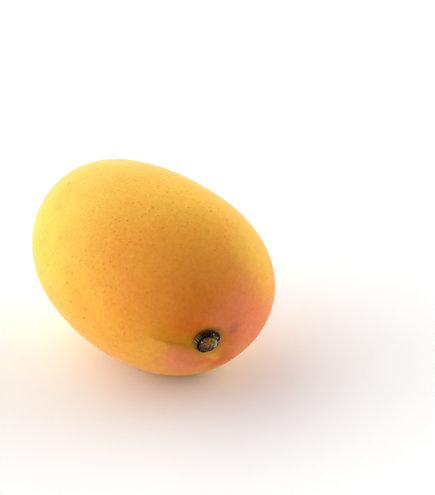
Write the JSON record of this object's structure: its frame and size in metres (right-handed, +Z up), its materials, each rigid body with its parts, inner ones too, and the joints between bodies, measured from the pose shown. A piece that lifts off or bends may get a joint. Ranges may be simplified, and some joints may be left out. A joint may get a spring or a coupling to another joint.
{
  "type": "mango",
  "caption": "Whole ripe mango lying on its side on a small flat spot, with the woody stub of its stalk in a shallow hollow.",
  "frame": {"origin": "bottom centre of the whole object's box, on the surface that the fruit lies on", "axes": "+X along the fruit towards the stalk, +Y towards the belly side, +Z up"},
  "size_m": [0.112, 0.0792, 0.0727],
  "materials": {
    "fruit_skin": "waxy semi-matte fruit skin",
    "stalk_wood": "dark corky bark and cut green wood"
  },
  "bodies": {
    "root": {"fruit": "fruit_skin", "stem_stub": "stalk_wood"}
  },
  "joints": []
}
